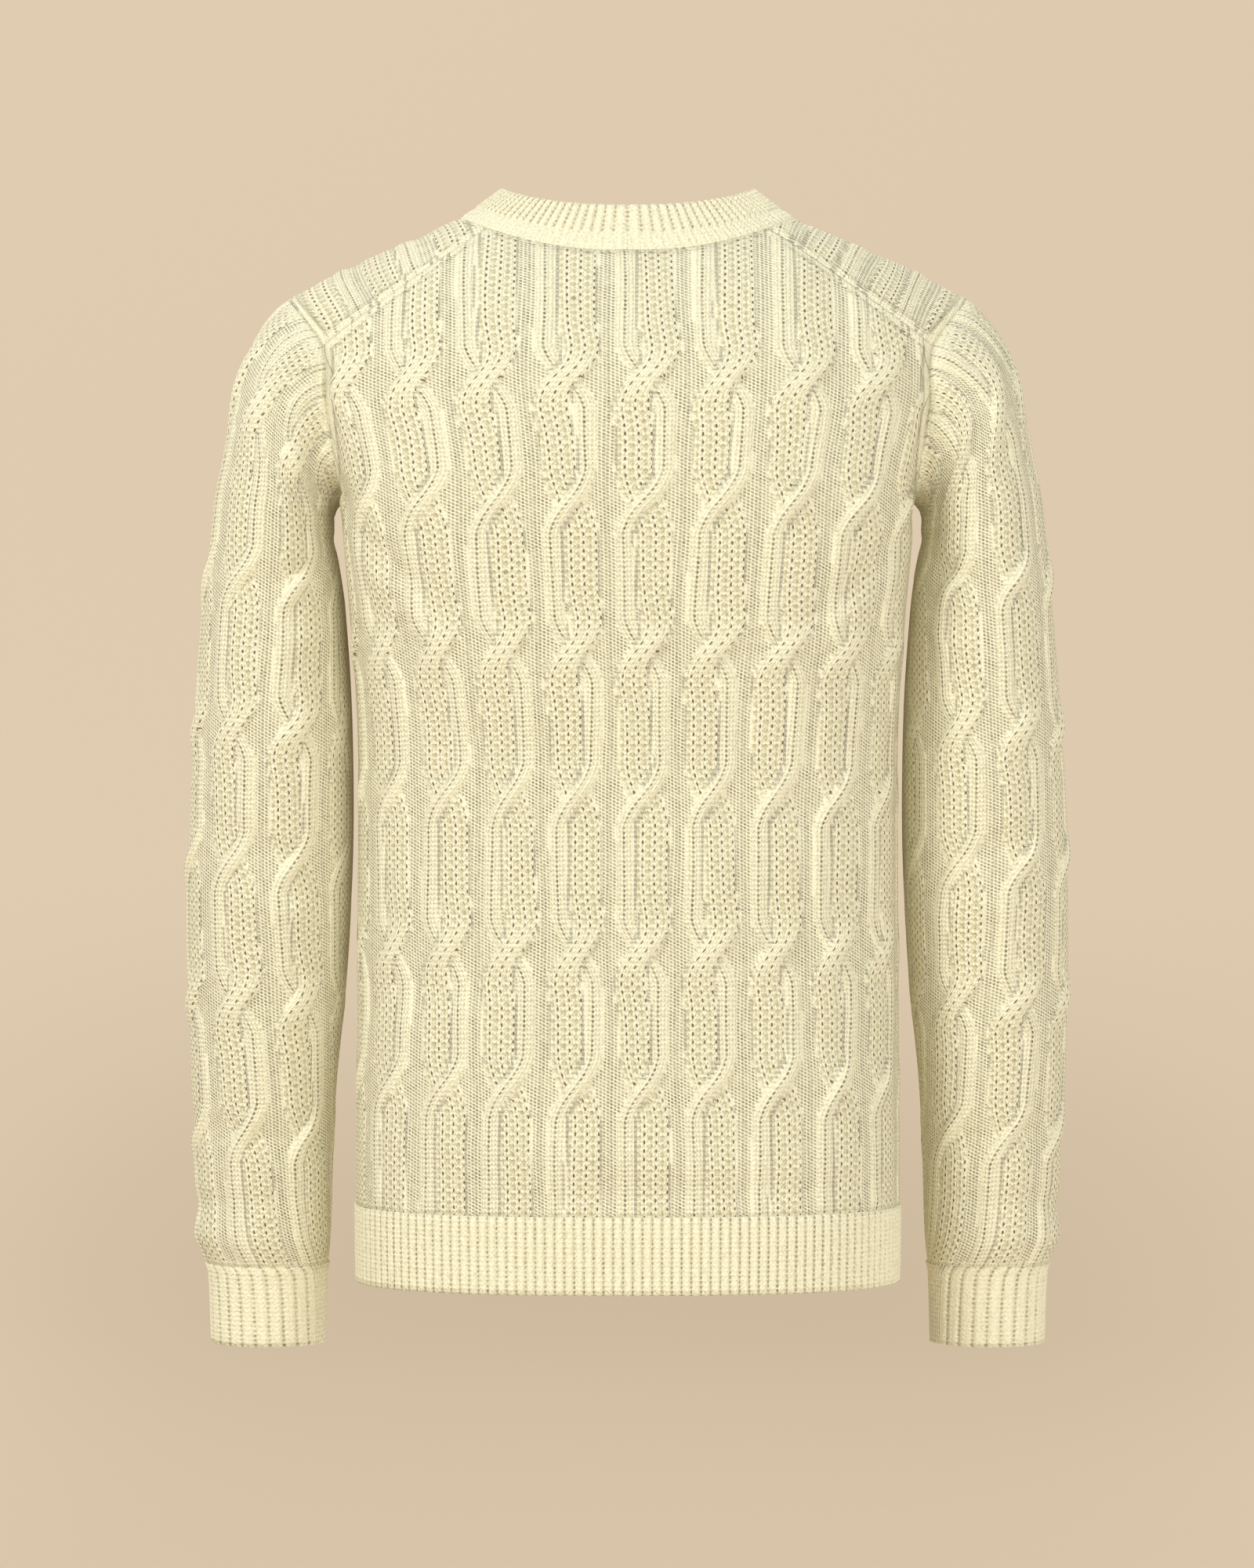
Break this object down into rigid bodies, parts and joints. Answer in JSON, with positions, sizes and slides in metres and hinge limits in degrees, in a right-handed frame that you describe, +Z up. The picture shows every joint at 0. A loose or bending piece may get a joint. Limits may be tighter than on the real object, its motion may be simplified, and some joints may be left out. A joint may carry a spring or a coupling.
{
  "type": "cable knit sweater",
  "caption": "Long-sleeved crew neck sweater knitted in cables and lace, filled out as worn, with ribbed neckband, cuffs and hem.",
  "frame": {"origin": "the middle of the neck opening at shoulder height, where the wearer's shoulders hold the sweater up", "axes": "+Z up, the wearer faces -Y so the back is towards +Y, and +X is the wearer's left"},
  "size_m": [0.5524, 0.2344, 0.7199],
  "materials": {
    "fabric": "matt cotton and wool yarn, pale butter cream"
  },
  "bodies": {
    "root": {"back": "fabric", "front": "fabric", "hem_back": "fabric", "hem_front": "fabric", "sleeve_left": "fabric", "sleeve_right": "fabric", "cuff_left": "fabric", "cuff_right": "fabric", "neckband": "fabric"}
  },
  "joints": []
}
